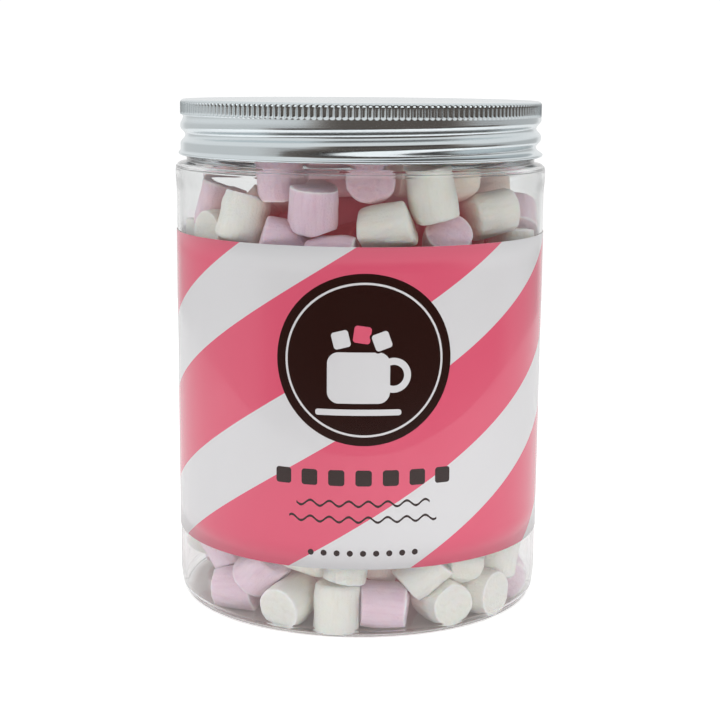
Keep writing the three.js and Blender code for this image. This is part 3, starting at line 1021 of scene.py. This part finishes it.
where = node(tree, "TexCoord").outputs["Object"]
cockle = node(
    tree, "TexNoise", links={"Vector": where}, values={"Scale": 60.0, "Detail": 2.0},
).outputs["Fac"]
waves = node(
    tree, "Bump", links={"Height": cockle}, values={"Strength": 0.12, "Distance": 0.0004},
).outputs["Normal"]
face = node(
    tree, "BsdfPrincipled", links={"Base Color": print_colour, "Normal": waves},
    values={"Roughness": 0.18, "IOR": 1.5, "Specular IOR Level": 0.35, "Coat Weight": 0.5},
).outputs["BSDF"]
glow_through = node(tree, "BsdfTranslucent", links={"Color": print_colour}).outputs["BSDF"]
paper = node(
    tree, "MixShader", values={0: LIGHT_THROUGH}, links={1: face, 2: glow_through},
).outputs["Shader"]
node(tree, "OutputMaterial", links={"Surface": paper})
paper_label.data.materials.append(coated_paper)

bare_edge = blank_material("bare_paper_edge")
tree = bare_edge.node_tree
fibres = node(
    tree, "BsdfPrincipled", values={"Base Color": hexed("#F2EFEA"), "Roughness": 0.9},
).outputs["BSDF"]
node(tree, "OutputMaterial", links={"Surface": fibres})
paper_label.data.materials.append(bare_edge)
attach(paper_label, "root")
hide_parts("label")


# The lid: a cap drawn from thin aluminium sheet, knurled round its shoulder for grip, with the
# screw thread rolled into its skirt and its raw edge curled under.
LID_TOP = 138.1
LID_BOTTOM = 123.1
LID_RADIUS = 49.8
LID_BORE = 48.05
LID_PLATE = 0.5
LID_CORNER = 1.0
BORE_CORNER = (0.7, 1.2)
PANEL_SINK = 0.1
CURL = 0.5
CURL_OUT = 0.05
KNURL = (133.9, 137.7)
KNURL_TEETH = 197
KNURL_DEPTH = 0.5
KNURL_RUN = 1.0
THREAD_PITCH = 5.08
THREAD_FRONT_HEIGHT = 129.6
THREAD_TURN = (-385, 350)
THREAD_FADES = (60, 130)
THREAD_DEPTH = 1.35
THREAD_HALF_WIDTH = 2.2
THREAD_TOP = 134.1
THREAD_TOP_FADE = 0.7
THREAD_END = 124.1
THREAD_END_FADE = 0.5
SKIRT_TOP = 133.8
SKIRT_BOTTOM = 124.4
SKIRT_ROWS = 31
STEPS_PER_TOOTH = 6

# The top panel from its middle out: radius, and how far it lies below the lid's top
PANEL = ((0, PANEL_SINK), (30, PANEL_SINK), (44, 0.08), (46, 0), (48, 0))

# Heights of the rows across the knurled band, closest where the flutes run out
KNURL_ROWS = (136.9, 136.6, 136.0, 135.4, 134.9, 134.7, 134.5, 134.3, 134.1, 133.9)


def thread_depth(angle, z):
    """How deep the rolled thread lies at an angle in degrees and a height."""
    deepest = 0
    for turn in (-720, -360, 0, 360):
        along = angle + turn
        if not THREAD_TURN[0] < along < THREAD_TURN[1]:
            continue
        off = abs(z - THREAD_FRONT_HEIGHT - THREAD_PITCH * along / 360) / THREAD_HALF_WIDTH
        if off >= 1:
            continue
        share = min(
            1, (along - THREAD_TURN[0]) / THREAD_FADES[0],
            (THREAD_TURN[1] - along) / THREAD_FADES[1],
            (THREAD_TOP - z) / THREAD_TOP_FADE, (z - THREAD_END) / THREAD_END_FADE,
        )
        deepest = max(deepest, THREAD_DEPTH * share * (1 + math.cos(math.pi * off)) / 2)
    return deepest


def knurl_depth(angle, z):
    """How deep the knurl's flutes are at an angle in degrees and a height: round-bottomed cuts."""
    across = abs((angle * KNURL_TEETH / 360) % 1 - 0.5) * 2
    run_out = max(0, 1 - (z - KNURL[0]) / KNURL_RUN, 1 - (KNURL[1] - z) / KNURL_RUN)
    return KNURL_DEPTH * max(0, 1 - across**2 - run_out**2)


skirt_step = (SKIRT_TOP - SKIRT_BOTTOM) / SKIRT_ROWS
panel_under = LID_TOP - LID_PLATE - PANEL_SINK
lid_outline = (
    [(radius, LID_TOP - sink) for radius, sink in PANEL]
    + arc((LID_RADIUS - LID_CORNER, LID_TOP - LID_CORNER), (LID_CORNER, LID_CORNER), 90, 0, 8)
    + [(LID_RADIUS, z) for z in KNURL_ROWS]
    + [(LID_RADIUS, SKIRT_TOP - i * skirt_step) for i in range(SKIRT_ROWS + 1)]
    + arc((LID_RADIUS + CURL_OUT, LID_BOTTOM + CURL), (CURL, CURL), 60, -90, 8)
    + [(LID_BORE, LID_BOTTOM), (LID_BORE, LID_TOP - BORE_CORNER[1])]
    + [(LID_BORE - BORE_CORNER[0], panel_under), (0, panel_under)]
)
screw_lid = turned("screw_lid", lid_outline, STEPS_PER_TOOTH * KNURL_TEETH)
for vert in screw_lid.data.vertices:
    radius = vert.co.xy.length / MM
    z = vert.co.z / MM
    if radius < LID_RADIUS - LID_CORNER:
        continue
    angle = math.degrees(math.atan2(vert.co.x, -vert.co.y))
    cut = knurl_depth(angle, z) + thread_depth(angle, z)
    vert.co.xy *= (radius - cut) / radius

# Aluminium sheet, turned under a clear lacquer: bright satin metal with fine lines that run round
# it, which draw each highlight out sideways.
lacquered_aluminium = blank_material("lacquered_aluminium")
tree = lacquered_aluminium.node_tree
where = node(tree, "SeparateXYZ", links={"Vector": node(tree, "TexCoord").outputs["Object"]})
x_squared = math_of("POWER", where.outputs["X"], 2)
y_squared = math_of("POWER", where.outputs["Y"], 2)
from_axis = math_of("SQRT", math_of("ADD", x_squared, y_squared))
lines_at = node(tree, "CombineXYZ", links={"X": from_axis, "Z": where.outputs["Z"]}).outputs["Vector"]
lines = node(tree, "TexNoise", links={"Vector": lines_at}, values={"Scale": 4000.0, "Detail": 2.0})
brushed = node(
    tree, "Bump", links={"Height": lines.outputs["Fac"]}, values={"Strength": 0.08, "Distance": 0.0001},
).outputs["Normal"]
dull = node(
    tree, "MapRange", links={"Value": lines.outputs["Fac"]}, values={"To Min": 0.14, "To Max": 0.2},
).outputs["Result"]
metal = node(
    tree, "BsdfPrincipled", links={"Normal": brushed, "Roughness": dull},
    values={"Base Color": hexed("#DAE2E5"), "Metallic": 1.0},
).outputs["BSDF"]
node(tree, "OutputMaterial", links={"Surface": metal})
screw_lid.data.materials.append(lacquered_aluminium)
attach(screw_lid, "root")
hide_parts("lid")
